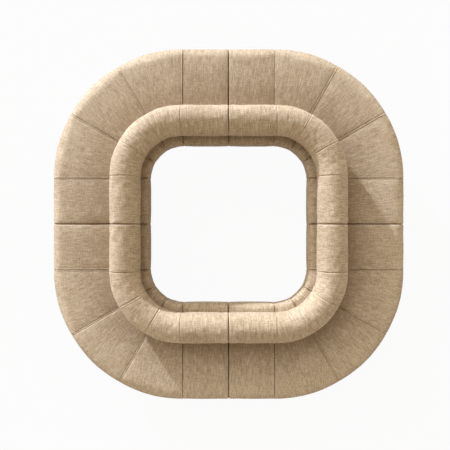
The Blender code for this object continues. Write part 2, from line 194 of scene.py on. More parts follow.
def zinc_plate():
    """Bright zinc plating with a faint blue-yellow passivation and rolled streaks."""
    zinc = Finish("zinc_plated_steel", {"Metallic": 1.0})
    place = zinc.place()
    patch = zinc.cloud(place, 55.0, 3.0)
    grain = zinc.cloud(zinc.stretched(place, (1.0, 1.0, 0.06)), 1500.0, 2.0)
    tints = ((0.3, (0.50, 0.52, 0.56)), (0.55, (0.60, 0.60, 0.58)), (0.8, (0.62, 0.58, 0.49)))
    zinc.surface({
        "Base Color": zinc.ramp(patch, tints),
        "Roughness": 0.26 + 0.2 * grain,
        "Normal": zinc.bump(grain, 0.00006, 0.6),
    })
    return zinc.material


POWDER_COAT = powder_coat()
NYLON = moulded_nylon()
ZINC = zinc_plate()


def line_place(lap, distance):
    """A place on the ring at a distance out from the bend's centre, and the way out there. Laps 0 to 1 are
    the first run, 1 to 2 the bend and 2 to 3 the second run."""
    angle = pi / 2 * min(max(lap - 1.0, 0.0), 1.0)
    out = Vector((cos(angle), sin(angle), 0.0))
    centre = Vector((STRAIGHT * min(3.0 - lap, 1.0), STRAIGHT * min(lap, 1.0), 0.0))
    return centre + out * distance, out


def bar_section(middle, low, high, half):
    """The outline of a flat bar with eased edges, as (distance, height)."""
    c = BAR_CORNER
    left, right = middle - half, middle + half
    return ((left, low + c), (left + c, low), (right - c, low), (right, low + c),
            (right, high - c), (right - c, high), (left + c, high), (left, high - c))


def add_loft(bm, rings):
    """Closed rings of points joined one to the next, with both ends closed."""
    loops = [[bm.verts.new(point) for point in ring] for ring in rings]
    for one, two in zip(loops, loops[1:]):
        for k in range(len(one)):
            bm.faces.new((one[k - 1], one[k], two[k], two[k - 1]))
    bm.faces.new(loops[0][::-1])
    bm.faces.new(loops[-1])


def turned_mesh(name, profile, sides):
    """A turned solid about the Z axis, from (radius, height) points that start and end on the axis."""
    bm = bmesh.new()
    circles = []
    for radius, height in profile[1:-1]:
        steps = (2 * pi * k / sides for k in range(sides))
        circles.append([bm.verts.new((radius * cos(a), radius * sin(a), height)) for a in steps])
    for one, two in zip(circles, circles[1:]):
        for k in range(sides):
            bm.faces.new((one[k - 1], one[k], two[k], two[k - 1]))
    for circle, (_, height) in ((circles[0], profile[0]), (circles[-1], profile[-1])):
        middle = bm.verts.new((0.0, 0.0, height))
        for k in range(sides):
            bm.faces.new((circle[k], circle[k - 1], middle))
    return finished_mesh(bm, name)


def finished_mesh(bm, name):
    """The mesh of a bmesh, with its faces turned outwards and its edges shaded by their angle."""
    bmesh.ops.recalc_face_normals(bm, faces=bm.faces)
    mesh = bpy.data.meshes.new(name)
    bm.to_mesh(mesh)
    bm.free()
    mesh.shade_smooth()
    mesh.set_sharp_from_angle(angle=radians(SHARP_ANGLE))
    return mesh


def piece(name, mesh, finish=None):
    obj = bpy.data.objects.new(name, mesh)
    bpy.context.scene.collection.objects.link(obj)
    if finish:
        mesh.materials.clear()
        mesh.materials.append(finish)
    return obj


def in_module(number, name, mesh, finish, replaced=()):
    """A mesh made in the first module's place, turned to its own module and put on that module's body."""
    module = MODULES[number]
    mesh.name = f"{module}_{name}"
    mesh.transform(Matrix.Rotation(pi / 2 * number, 4, "Z"))
    obj = piece(mesh.name, mesh, finish)
    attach(obj, f"{module}_module")
    if replaced:
        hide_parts(*(f"{module}_{node}" for node in replaced))
    return obj


def in_every_module(name, mesh, finish, replaced=()):
    """The same mesh in all four modules."""
    return [in_module(k, name, mesh.copy(), finish, replaced) for k in range(len(MODULES))]


def new_tree(name, sockets):
    """A geometry tree with named inputs: its nodes, and the inputs in their order."""
    tree = bpy.data.node_groups.new(name, "GeometryNodeTree")
    for socket, kind in sockets.items():
        tree.interface.new_socket(socket, in_out="INPUT", socket_type=f"NodeSocket{kind}")
    tree.interface.new_socket("Result", in_out="OUTPUT", socket_type="NodeSocketGeometry")
    nodes = Nodes(tree)
    return nodes, [nodes.node("NodeGroupInput", output=k) for k in range(len(sockets))]


def closed_tree(nodes, places, finish):
    """The tree with its last nodes: parts in their places, made real and given their material."""
    parts = nodes.node("GeometryNodeInstanceOnPoints", None, places)
    solid = nodes.node("GeometryNodeRealizeInstances", None, {0: parts})
    painted = nodes.node("GeometryNodeSetMaterial", None, {"Geometry": solid, "Material": finish})
    nodes.tree.links.new(painted.socket, nodes.tree.nodes.new("NodeGroupOutput").inputs[0])
    return nodes.tree


def set_out_tree():
    """Puts one part on each point of a mesh, turned as the point's own attribute says."""
    nodes, (points, pattern, size, finish) = new_tree("set_out", {
        "Points": "Geometry", "Part": "Object", "Size": "Float", "Finish": "Material",
    })
    turn = nodes.node("GeometryNodeInputNamedAttribute", {"data_type": "FLOAT_VECTOR"}, {"Name": "turn"})
    rotation = nodes.node("FunctionNodeEulerToRotation", None, {0: turn})
    values = {"Object": pattern, "As Instance": True}
    part = nodes.node("GeometryNodeObjectInfo", None, values, output="Geometry")
    places = {"Points": points, "Instance": part, "Rotation": rotation, "Scale": size}
    return closed_tree(nodes, places, finish)


def baked(name, source, tree, values):
    """What a node tree makes of a mesh, as a plain mesh."""
    holder = piece(name, source)
    modifier = holder.modifiers.new("make", "NODES")
    modifier.node_group = tree
    for item in tree.interface.items_tree:
        if item.name in values:
            modifier[item.identifier] = values[item.name]
    ready = holder.evaluated_get(bpy.context.evaluated_depsgraph_get())
    mesh = bpy.data.meshes.new_from_object(ready)
    holder.modifiers.remove(modifier)
    bpy.data.objects.remove(holder)
    return mesh


def points_mesh(places):
    """A mesh of loose points, each with the turn of the part that goes there."""
    mesh = bpy.data.meshes.new("points")
    mesh.from_pydata([place for place, _ in places], [], [])
    turns = mesh.attributes.new("turn", "FLOAT_VECTOR", "POINT")
    for point, (_, turn) in zip(turns.data, places):
        point.vector = turn
    return mesh


def set_out(name, part_mesh, places, finish, size=1.0):
    """One part repeated over a list of (place, turn)."""
    part = piece(f"{name}_pattern", part_mesh)
    values = {"Part": part, "Size": size, "Finish": finish}
    mesh = baked(name, points_mesh(places), SET_OUT, values)
    bpy.data.objects.remove(part)
    return mesh


SET_OUT = set_out_tree()
END_LAP = STAND_SETBACK / STRAIGHT
STAND_LAPS = (END_LAP, 1.5, 3.0 - END_LAP)


def stand_frame():
    bm = bmesh.new()
    start = (STAND_SETBACK - BAR_WIDTH / 2) / STRAIGHT
    laps = [start, 1.0, *(1.0 + k / BEND_STEPS for k in range(1, BEND_STEPS)), 2.0, 3.0 - start]
    for middle in BAR_LINES:
        rings = []
        for lap in laps:
            section = bar_section(middle, BAR_BOTTOM, BAR_TOP, BAR_WIDTH / 2)
            rings.append([line_place(lap, d)[0] + Vector((0, 0, z)) for d, z in section])
        add_loft(bm, rings)
    for lap in STAND_LAPS:
        _, out = line_place(lap, 0.0)
        side = Vector((-out.y, out.x, 0.0))
        rings = []
        reach = BAR_WIDTH / 2 - BAR_CORNER
        for distance in (BAR_LINES[0] + reach, BAR_LINES[1] - reach):
            middle = line_place(lap, distance)[0]
            section = bar_section(0.0, BAR_BOTTOM, BAR_TOP, BAR_WIDTH / 2)
            rings.append([middle + side * d + Vector((0, 0, z)) for d, z in section])
        add_loft(bm, rings)
    return finished_mesh(bm, "stand_frame")


LEG_PLACES = [(line_place(lap, d)[0], (0, 0, 0)) for lap in STAND_LAPS for d in BAR_LINES]
SCREW_PLACES = [
    (line_place(lap, d)[0] + Vector((0, 0, BAR_BOTTOM)), (0, 0, lap)) for lap in SCREW_LAPS for d in BAR_LINES
]
in_every_module("stand_frame", stand_frame(), POWDER_COAT, ["stand"])
legs = set_out("legs", turned_mesh("leg", LEG_PROFILE, LEG_SIDES), LEG_PLACES, POWDER_COAT)
in_every_module("stand_legs", legs, POWDER_COAT)
glides = set_out("glides", turned_mesh("glide", GLIDE_PROFILE, LEG_SIDES), LEG_PLACES, NYLON)
in_every_module("leg_glides", glides, NYLON)
screw = turned_mesh("screw", SCREW_PROFILE, SCREW_SIDES)
stand_screws = set_out("stand_screws", screw, SCREW_PLACES, ZINC)
in_every_module("stand_screws", stand_screws, ZINC)

# The links between modules: a T tongue on one end board, held by four countersunk screws, and a C channel
# on the other, both folded and zinc plated. A module lifts straight up off its neighbour's tongue.
LINK_DISTANCE = 0.8045
LINK_LINE = STRAIGHT + LINK_DISTANCE
LINK_MIDDLE = 0.235
LINK_FACE = 0.0057
LINK_SCREW_REACH = 0.0235
LINK_SCREW_RISE = 0.0188
LINK_SCREW_SIZE = 0.45


def finish_solids(nodes, finish):
    """Gives solid pieces of every module their material."""
    for module in MODULES:
        for node in nodes:
            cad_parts[f"{module}_{node}"].material_slots[0].material = finish


finish_solids(("link_tongue", "link_channel"), ZINC)
link_places = [
    (Vector((LINK_LINE + across, LINK_FACE, LINK_MIDDLE + height)), (-pi / 2, 0, 0))
    for across in (-LINK_SCREW_REACH, LINK_SCREW_REACH) for height in (-LINK_SCREW_RISE, LINK_SCREW_RISE)
]
link_screws = set_out("link_screws", screw, link_places, ZINC, LINK_SCREW_SIZE)
in_every_module("link_screws", link_screws, ZINC)


# The frame inside the slab: birch plywood deck, bent rails, end boards and a rib, glued and screwed. The
# cut edges show their plies. A bent steel tube on three posts holds up the roll.
BOARDS = ("seat_deck", "outer_rail", "inner_rail", "first_end_board", "second_end_board", "middle_rib")
PLY = 0.0026


def birch_plywood():
    """Pale birch face with long grain and darker plies on the edges."""
    wood = Finish("birch_plywood", {"Specular IOR Level": 0.35})
    place = wood.place()
    grain = wood.cloud(wood.stretched(place, (1.0, 0.05, 1.0)), 160.0, 5.0, 0.6)
    figure = wood.cloud(wood.stretched(place, (1.0, 0.12, 1.0)), 9.0, 2.0)
    plies = (wood.part(place, 2) * (2 * pi / PLY)).sine()
    stops = ((0.25, (0.47, 0.31, 0.16)), (0.55, (0.66, 0.48, 0.28)), (0.85, (0.76, 0.60, 0.39)))
    tone = 0.55 * grain + 0.4 * figure + 0.05 * plies
    wood.surface({
        "Base Color": wood.ramp(tone, stops),
        "Roughness": 0.5 + 0.25 * grain,
        "Normal": wood.bump(grain, 0.0003, 0.5),
    })
    return wood.material


finish_solids(BOARDS, birch_plywood())
finish_solids(("back_core",), POWDER_COAT)

# The lining under the frame: thin black spun-bonded cloth, cut to the module's outline, stretched over
# the rails and the ends and stapled along its inner and outer edges.
LINING_INSET = 0.08
LINING_LINES = (INNER + LINING_INSET, OUTER - LINING_INSET)
LINING_TOP = 0.1797
LINING_THICKNESS = 0.0012
LINING_SAG = 0.0002
LINING_END = 0.009
LINING_COLUMNS = 12
DIMPLE_PITCH = 0.003
STAPLE_INSET = 0.006
STAPLE_PROUD = 0.0003
STAPLES = {"Pitch": 0.034, "Length": 0.0105, "Thickness": 0.0011, "Thread": ZINC}


def spun_cloth():
    """Black non-woven cloth with its grid of heat-set dimples."""
    cloth = Finish("black_spun_cloth", {"Roughness": 0.95, "Specular IOR Level": 0.2})
    place = cloth.place()
    fuzz = cloth.cloud(place, 420.0, 4.0, 0.7)
    patch = cloth.cloud(place, 6.0, 2.0)
    x, y = cloth.part(place, 0), cloth.part(place, 1)
    step = 2 * pi / DIMPLE_PITCH
    dimple = (x * step).sine() * (y * step).sine()
    tone = 0.45 * fuzz + 0.4 * patch + 0.1 * dimple
    cloth.surface({
        "Base Color": cloth.ramp(tone, ((0.25, (0.013, 0.013, 0.014)), (0.75, (0.045, 0.044, 0.046)))),
        "Normal": cloth.bump(0.7 * dimple + fuzz, 0.00025, 0.6),
    })
    return cloth.material


def lining_mesh():
    """A thin sheet from end to end of the module, sagging a little in its middle."""
    end = LINING_END / STRAIGHT
    laps = [end, 0.35, 0.7, *(1.0 + k / BEND_STEPS for k in range(BEND_STEPS + 1)), 2.3, 2.65, 3.0 - end]
    low_line, high_line = LINING_LINES
    shares = [k / LINING_COLUMNS for k in range(LINING_COLUMNS + 1)]
    bm = bmesh.new()
    rings = []
    for number, lap in enumerate(laps):
        tight = sin(pi * number / (len(laps) - 1))
        top, bottom = [], []
        for share in shares:
            spot = line_place(lap, low_line + (high_line - low_line) * share)[0]
            sag = LINING_SAG * tight * sin(pi * share)
            top.append(spot + Vector((0, 0, LINING_TOP - sag)))
            bottom.append(spot + Vector((0, 0, LINING_TOP - sag - LINING_THICKNESS)))
        rings.append(top + bottom[::-1])
    add_loft(bm, rings)
    return finished_mesh(bm, "lining")


def stitch_tree():
    """Short rounded stitches along lines, one to each pitch."""
    nodes, (lines, pitch, length, thickness, thread) = new_tree("stitch_line", {
        "Lines": "Geometry", "Pitch": "Float", "Length": "Float", "Thickness": "Float", "Thread": "Material",
    })
    curve = nodes.node("GeometryNodeMeshToCurve", None, {0: lines})
    spaced = nodes.node("GeometryNodeResampleCurve", {"mode": "LENGTH"}, {"Curve": curve, "Length": pitch})
    along = nodes.node("GeometryNodeInputTangent")
    turn = nodes.node("FunctionNodeAlignRotationToVector", {"axis": "X"}, {"Vector": along})
    bead = nodes.node("GeometryNodeMeshIcoSphere", None, {"Radius": 0.5, "Subdivisions": 1})
    size = nodes.node("ShaderNodeCombineXYZ", None, {0: length, 1: thickness, 2: thickness})
    places = {"Points": spaced, "Instance": bead, "Rotation": turn, "Scale": size}
    return closed_tree(nodes, places, thread)


def lines_mesh(lines):
    """A mesh of open lines, each a list of points."""
    points, edges = [], []
    for line in lines:
        edges += [(len(points) + k, len(points) + k + 1) for k in range(len(line) - 1)]
        points += line
    mesh = bpy.data.meshes.new("lines")
    mesh.from_pydata(points, edges, [])
    return mesh


STITCH_LINE = stitch_tree()
for obj in in_every_module("lining", lining_mesh(), spun_cloth(), ["dust_cover"]):
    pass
staple_height = LINING_TOP - LINING_THICKNESS - STAPLE_PROUD
staple_laps = [0.05, 1.0, *(1.0 + k / BEND_STEPS for k in range(1, BEND_STEPS)), 2.0, 2.95]
staple_lines = [
    [line_place(lap, line)[0] + Vector((0, 0, staple_height)) for lap in staple_laps]
    for line in (LINING_LINES[0] + STAPLE_INSET, LINING_LINES[1] - STAPLE_INSET)
]
staples = baked("staples", lines_mesh(staple_lines), STITCH_LINE, STAPLES)
in_every_module("lining_staples", staples, ZINC)

# The seat: foam over and round the plywood deck under a sewn cover of sand linen-look cloth, quilted on a
# thin wadding. Five panels, two straight and three wedges, meet in pinched seams drawn tight at the edge.
# The cloth has painted shade and light: darker just outside the roll, paler to the front, darker at the rim.
# Its outline, and how far apart the points along it lie
UNDERSIDE = 0.18
SHOULDER = 0.09
UNDER = 0.09
SLAB_TOP = 0.4168
INNER_SHOULDER = 0.04
SIDE_FULLNESS = 0.001
OUTLINE_STEPS = {
    "under": 0.013, "side": 0.015, "inner_shoulder": 0.008, "top": 0.0165, "shoulder": 0.010, "front": 0.02,
    "base": 0.2,
}
SAME_POINT = 1e-6
# Where the roll rests on the seat
ROLL_LINE = INNER + 0.197
ROLL_RADIUS = 0.141
ROLL_HEIGHT = 0.5548
ROLL_DIP = 0.007
DIP_FROM = 1.05
REST_GAP = 0.0004
ROLL_REST = SLAB_TOP - ROLL_DIP + REST_GAP
PRESSED_WIDTHS = (0.05, 0.13)
PRESSED_BAND = 0.01
PRESSED_FLAT = 0.93
HIDDEN_BY_ROLL = 0.6
# The ends of a module, which are drawn in and all but meet the next module
END = 0.0046
END_LENGTH = 0.0105
END_DRAW = 0.008
END_CROWN = 0.0036
END_CROWN_REACH = 0.015
END_SINK = END_DRAW + END_CROWN
CAP_RINGS = (
    (0.013, 0.0002), (0.018, 0.0006), (0.024, 0.0015), (0.030, 0.0031), (0.036, 0.0042), (0.042, 0.00455),
)
CAP_SIDE_SHARE = 0.1
COVER_SHARP_ANGLE = 55.0
# The panels, and the rows of points along them
PANELS = (("run", 0), ("wedge", 0), ("wedge", 1), ("wedge", 2), ("run", 1))
WEDGE_ANGLE = radians(30)
EDGE_OFFSETS = (
    0.0, 0.0012, 0.0024, 0.0038, 0.0055, 0.0078, 0.0100, 0.0130, 0.0160, 0.0190, 0.0220, 0.0260, 0.0330,
)
MIDDLE_STEPS = 13
# The seams and the stitching beside them
SIDE_SEAM_SHARE = 0.28
WEDGE_SEAM_SHARE = 0.62
LIP_AT = 0.0062
LIP_WIDTH = 0.0042
CROWN_REACH = 0.025
STITCHED_SIDES = {2: "near", 3: "near"}
STITCH_AT = 0.019
STITCH_WIDTH = 0.0032
SWELL_SHIFTS = (3.7, 1.3)
PUCKER_SHIFT = 5.1
# The filling, and the cloth over it in the simulation
SEAT_SWELL = 0.0065
SEAT_SLACK = 0.0012
PULLED_UNDER = 0.02
FILL_STEPS = 20
FILL_FRAMES = 20
FILLING = {
    "quality": 4, "mass": 0.3, "use_pressure": True, "uniform_pressure_force": 0.8, "tension_stiffness": 25,
    "compression_stiffness": 25, "bending_stiffness": 1.5,
}
# The cloth: each module's panel tones, partly painted shade, and (distance out, change of tone) of painted
# shade
# Panel tones: part cloth variation, part painted shade that darkens the straights on the sunlit top and left
# sides.
PANEL_TONES_AND_SHADE = ((0.0, 0.02, 0.02, 0.01, -0.05), (-0.05, 0.02, 0.04, 0.02, -0.05), (-0.05, 0.0, 0.02, 0.02, 0.0),
              (0.0, 0.02, 0.0, 0.02, -0.01))
# Painted shade and light on the seat by distance out: darkest just outside the roll, palest before the front
# rim
PAINTED_SHADE = ((0.55, 0.0), (0.68, -0.27), (0.77, -0.24), (0.92, -0.06), (1.02, 0.03), (1.20, 0.14), (1.235, 0.09),
        (1.258, -0.04), (1.275, -0.06))
YARN_PITCH = 0.0021
SEAT_SEED = 1
MODULE_SHIFT = 11.3
PANEL_SHIFT = 2.9
SHIFT_SLOPE = 0.7


def panel_width(panel, d):
    """The width of a panel at each distance out, as an array."""
    return np.full(d.shape, STRAIGHT - END) if panel[0] == "run" else WEDGE_ANGLE * d


def panel_place(panel, x, d):
    """The centre, and the angle of the way out, at a distance x along a panel, measured at distance d out."""
    kind, number = panel
    if kind == "wedge":
        return STRAIGHT, STRAIGHT, WEDGE_ANGLE * number + x / d
    if number == 0:
        return STRAIGHT, END + x, np.zeros_like(x)
    return STRAIGHT - x, STRAIGHT, np.full_like(x, pi / 2)


def panel_cloth(panel, x, d, run):
    """Where a point lies on its flat piece of cloth: across the panel, and along it."""
    if panel[0] == "run":
        return x - panel_width(panel, d) / 2, run
    lean = x / d - WEDGE_ANGLE / 2
    return d * np.sin(lean), run - d * (1 - np.cos(lean))


def arc_points(centre, radius, start, stop, step):
    count = max(2, round(abs(radians(stop - start)) * radius / step))
    shares = np.linspace(0, 1, count + 1)
    angles = np.radians(start + (stop - start) * shares)
    return [(centre[0] + radius * cos(a), centre[1] + radius * sin(a)) for a in angles]


def even_points(start, stop, step):
    count = max(1, round(hypot(stop[0] - start[0], stop[1] - start[1]) / step))
    return [tuple(np.array(start) + (np.array(stop) - np.array(start)) * k / count) for k in range(count + 1)]


def as_section(points):
    """Points of a closed outline with their outward normals and the cloth's running length."""
    kept = [points[0]]
    for point in points[1:]:
        if hypot(point[0] - kept[-1][0], point[1] - kept[-1][1]) > SAME_POINT:
            kept.append(point)
    spots = np.array(kept)
    ahead, behind = np.roll(spots, -1, axis=0), np.roll(spots, 1, axis=0)
    tangent = ahead - behind
    tangent /= np.linalg.norm(tangent, axis=1)[:, None]
    normal = np.stack([-tangent[:, 1], tangent[:, 0]], axis=1)
    run = np.concatenate([[0], np.cumsum(np.linalg.norm(np.diff(spots, axis=0), axis=1))])
    top = int(np.argmax(spots[:, 1] > spots[:, 1].max() - SAME_POINT))
    run += spots[top, 0] - run[top]
    return spots, normal, run


def seat_section():
    low, high = UNDERSIDE, SLAB_TOP
    inner, outer = INNER - SIDE_FULLNESS, OUTER + SIDE_FULLNESS
    step = OUTLINE_STEPS
    bend = INNER_SHOULDER
    points = arc_points((inner + UNDER, low + UNDER), UNDER, 270, 180, step["under"])
    points += even_points((inner, low + UNDER), (inner, high - bend), step["side"])[1:]
    points += arc_points((inner + bend, high - bend), bend, 180, 90, step["inner_shoulder"])[1:]
    points += even_points((inner + bend, high), (outer - SHOULDER, high), step["top"])[1:]
    points += arc_points((outer - SHOULDER, high - SHOULDER), SHOULDER, 90, 0, step["shoulder"])[1:]
    points += even_points((outer, high - SHOULDER), (outer, low + UNDER), step["front"])[1:]
    points += arc_points((outer - UNDER, low + UNDER), UNDER, 0, -90, step["under"])[1:]
    points += even_points((outer - UNDER, low), (inner + UNDER, low), step["base"])[1:-1]
    return as_section([(d, z - roll_dip(d, z)) for d, z in points])


def roll_dip(d, z):
    """How far the top of the seat falls from its outer part to the roll, whose posts hold it down."""
    share = max(0.0, (z - UNDERSIDE - UNDER) / (SLAB_TOP - UNDERSIDE - UNDER))
    return ROLL_DIP * share * float(smooth_step(DIP_FROM - d, 0.0, DIP_FROM - ROLL_LINE - ROLL_RADIUS))


def station_offsets(panel, d):
    """How far along a panel each row of points lies, at each distance out."""
    width = panel_width(panel, d)
    edge = np.array(EDGE_OFFSETS)
    middle = np.linspace(0, 1, MIDDLE_STEPS + 1)[1:-1]
    rows = [np.full_like(width, offset) for offset in edge]
    rows += [edge[-1] + (width - 2 * edge[-1]) * share for share in middle]
    rows += [width - offset for offset in edge[::-1]]
    return np.array(rows), width


def seam_height(x, lip, depth, width):
    """A pinched seam: a narrow groove between two low lips."""
    return lip * np.exp(-(((x - LIP_AT) / LIP_WIDTH) ** 2)) - depth * np.exp(-((x / width) ** 2))


def end_height(x):
    share = np.clip(1 - x / END_LENGTH, 0, 1)
    return -END_DRAW * (1 - np.sqrt(np.maximum(0, 1 - share**2))) - END_CROWN * np.exp(-x / END_CROWN_REACH)


def upward(section):
    """How much of a seam's or an end's draw each point of the section has: all on top, part on the sides."""
    return SIDE_SEAM_SHARE + (1 - SIDE_SEAM_SHARE) * np.maximum(section[1][:, 1], 0)


def smooth_step(x, low, high):
    t = np.clip((x - low) / (high - low), 0, 1)
    return t * t * (3 - 2 * t)


def surface_points(panel, x, section, height):
    """Points of the cover in the first module, for each row along the panel and each point of the section."""
    spots, normal, _ = section
    d = np.broadcast_to(spots[:, 0], x.shape)
    cx, cy, angle = panel_place(panel, x, d)
    reach = d + normal[:, 0] * height
    rise = spots[:, 1] + normal[:, 1] * height
    return np.stack([cx + reach * np.cos(angle), cy + reach * np.sin(angle), rise], -1)


def filling_rows(d):
    """Each simulated row, as its panel and its distances along it. Neighbours share the row at their seam."""
    for panel in PANELS:
        width = panel_width(panel, d)
        for k in range(0 if panel == PANELS[0] else 1, FILL_STEPS + 1):
            yield panel, width * k / FILL_STEPS


def filled_cover(section, still, slack, most):
    """How far the filling pushes the cover out, from a cloth simulation in which the seams stay sewn down."""
    d, normal = section[0][:, 0], section[1]
    count = len(d)
    plain = np.zeros((1, count))
    start = np.array([surface_points(panel, x[None, :], section, plain)[0] for panel, x in filling_rows(d)])
    pinned = np.zeros((len(start), count), bool)
    pinned[::FILL_STEPS] = True
    pinned[:, still] = True
    faces = []
    for i in range(len(start) - 1):
        for j in range(count):
            k = (j + 1) % count
            faces.append((i * count + j, i * count + k, (i + 1) * count + k, (i + 1) * count + j))
    mesh = bpy.data.meshes.new("filling")
    mesh.from_pydata(start.reshape(-1, 3).tolist(), [], faces)
    bm = bmesh.new()
    bm.from_mesh(mesh)
    bmesh.ops.recalc_face_normals(bm, faces=bm.faces)
    bm.to_mesh(mesh)
    bm.free()
    cover = piece("filling", mesh)
    group = cover.vertex_groups.new(name="sewn")
    group.add([int(k) for k in np.flatnonzero(pinned.reshape(-1))], 1.0, "REPLACE")
    cloth = cover.modifiers.new("filling", "CLOTH")
    settings = cloth.settings
    for key, value in FILLING.items():
        setattr(settings, key, value)
    settings.vertex_group_mass = group.name
    settings.shrink_min = -slack
    settings.effector_weights.gravity = 0
    cloth.point_cache.frame_start, cloth.point_cache.frame_end = 1, FILL_FRAMES
    scene = bpy.context.scene
    for number in range(1, FILL_FRAMES + 1):
        scene.frame_set(number)
    ready = cover.evaluated_get(bpy.context.evaluated_depsgraph_get()).to_mesh()
    after = np.empty(len(ready.vertices) * 3)
    ready.vertices.foreach_get("co", after)
    moved = after.reshape(start.shape) - start
    scene.frame_set(1)
    bpy.data.objects.remove(cover)
    angles = np.array([panel_place(panel, x, d)[2] for panel, x in filling_rows(d)])
    level, rise = normal[:, 0], np.broadcast_to(normal[:, 1], angles.shape)
    outward = np.stack([level * np.cos(angles), level * np.sin(angles), rise], -1)
    return most * np.tanh((moved * outward).sum(-1) / most)


def between_rows(field, number, share):
    """The filling's height inside one panel, at a share of its width, smoothly between the simulated rows."""
    rows = field[number * FILL_STEPS:(number + 1) * FILL_STEPS + 1]
    at = np.clip(share, 0, 1) * FILL_STEPS
    base = np.minimum(at.astype(int), FILL_STEPS - 1)
    t = at - base
    j = np.arange(rows.shape[1])[None, :]
    a, b, c, e = (rows[np.clip(base + k, 0, FILL_STEPS), j] for k in (-1, 0, 1, 2))
    return b + t / 2 * (c - a + t * (2 * a - 5 * b + 4 * c - e + t * (3 * (b - c) + e - a)))


def unevenness(points, seed, waves):
    """Slow swells in a hand-filled cover, as (waves to a metre, height)."""
    flat = points.reshape(-1, 3)
    total = np.zeros(len(flat))
    for scale, height in waves:
        shift = Vector((seed * SWELL_SHIFTS[0], seed * SWELL_SHIFTS[1], scale))
        total += [height * noise.noise(Vector(point) * scale + shift) for point in flat]
    return total.reshape(points.shape[:-1])


def puckers(points, x, amount, reach, waves, seed):
    """Small gathers along a seam, gone a little way from it."""
    fade = np.exp(-x / reach)
    near = fade > 0.05
    result = np.zeros(x.shape)
    shift = Vector((seed * PUCKER_SHIFT, 2.0, 0.0))
    result[near] = [noise.noise(Vector(point) * waves + shift) for point in points[near]]
    return amount * fade * result


def cover_height(section, field, number, x, width, looks, seed):
    """The whole height of the cover over its plain form, at rows x along one panel."""
    panel = PANELS[number]
    edges = ((x, number == 0, "near"), (width - x, number == len(PANELS) - 1, "far"))
    height = between_rows(field, number, x / width)
    points = surface_points(panel, x, section, height)
    swell = unevenness(points, seed, looks["swells"])
    inner = section[0][:, 0] < ROLL_LINE - looks["inner_from"]
    for distance, is_end, side in edges:
        if is_end:
            height = height + end_height(distance) * upward(section)
            continue
        next_kind = PANELS[number + (1 if side == "far" else -1)][0]
        between_wedges = panel[0] == "wedge" and next_kind == "wedge"
        share = np.where(inner, 1.0, WEDGE_SEAM_SHARE if between_wedges else 1.0)
        share = upward(section) * share * looks["firmness"][number - (side == "near")]
        inner_share = np.where(inner, looks["inner_share"], 1.0)
        depth, groove = inner_share * looks["depth"], inner_share * looks["groove"]
        height = height + share * seam_height(distance, looks["lip"], depth, groove)
        height = height - looks["crown"] * np.exp(-distance / CROWN_REACH)
        height = height + puckers(points, distance, *looks["pucker"], seed)
        if STITCHED_SIDES.get(number) == side:
            height = height - looks["stitch_dip"] * np.exp(-(((distance - STITCH_AT) / STITCH_WIDTH) ** 2))
    return np.where(looks["still"], 0, height + swell)


def cloth_shift(seed, number):
    """Where a panel was cut from the bolt, so that no two panels show the same yarns."""
    shift = seed * MODULE_SHIFT + number * PANEL_SHIFT
    return shift, shift * SHIFT_SLOPE


def cover_mesh(section, field, looks, seed, shape, tones_and_shade):
    """One module's cover, still open at both ends, with each panel's own cloth coordinates and tones, partly
    painted shade, and its painted shade and light by distance out.
    """
    spots, _, run = section
    count = len(spots)
    rows, cloth = [], []
    for number, panel in enumerate(PANELS):
        x, width = station_offsets(panel, spots[:, 0])
        height = cover_height(section, field, number, x, width, looks, seed)
        points = shape(surface_points(panel, x, section, height))
        u, v = panel_cloth(panel, x, np.broadcast_to(spots[:, 0], x.shape), np.broadcast_to(run, x.shape))
        cloth.append(np.stack([u, v], -1) + cloth_shift(seed, number))
        rows.append(points if number == 0 else points[1:])
    for first in (True, False):
        rings, coordinates = cap_rings(section, run, first)
        rings = shape(rings)
        coordinates += cloth_shift(seed, 0 if first else len(PANELS) - 1)
        if first:
            rows.insert(0, rings)
            cloth[0] = np.concatenate([coordinates, cloth[0]])
        else:
            rows.append(rings)
            cloth[-1] = np.concatenate([cloth[-1], coordinates])
    mesh = grid_mesh(np.concatenate(rows), cloth, count)
    # Each panel's tone, partly painted shade, as a face attribute.
    dye = mesh.attributes.new("dye", "FLOAT", "FACE")
    tones = [np.full((len(sheet) - 1) * count, tone) for sheet, tone in zip(cloth, tones_and_shade)]
    dye.data.foreach_set("value", np.concatenate(tones).astype(np.float32))
    # Painted shade and light by distance out: darker beside the roll, paler towards the front.
    fade = mesh.attributes.new("fade", "FLOAT", "POINT")
    painted_shades = np.resize(np.broadcast_to(looks["fade"], count), len(mesh.vertices))
    fade.data.foreach_set("value", painted_shades.astype(np.float32))
    return mesh


def cap_rings(section, run, first):
    """Rings that carry the cover over a module's end, where it all but meets the next module."""
    spots, normal, _ = section
    share = CAP_SIDE_SHARE + (1 - CAP_SIDE_SHARE) * np.maximum(normal[:, 1], 0)
    rings, coordinates = [], []
    for inset, forward in (CAP_RINGS[::-1] if first else CAP_RINGS):
        inward = END_SINK * upward(section) + (inset - END_SINK) * share
        d, z = spots[:, 0] - normal[:, 0] * inward, spots[:, 1] - normal[:, 1] * inward
        away = np.full(d.shape, END - forward)
        flat = (STRAIGHT + d, away) if first else (away, STRAIGHT + d)
        rings.append(np.stack([*flat, z], -1))
        side = -1 if first else 1
        across = np.full_like(d, side * ((STRAIGHT - END) / 2 + inset - END_SINK))
        coordinates.append(np.stack([across, run], -1))
    return np.array(rings), np.array(coordinates)


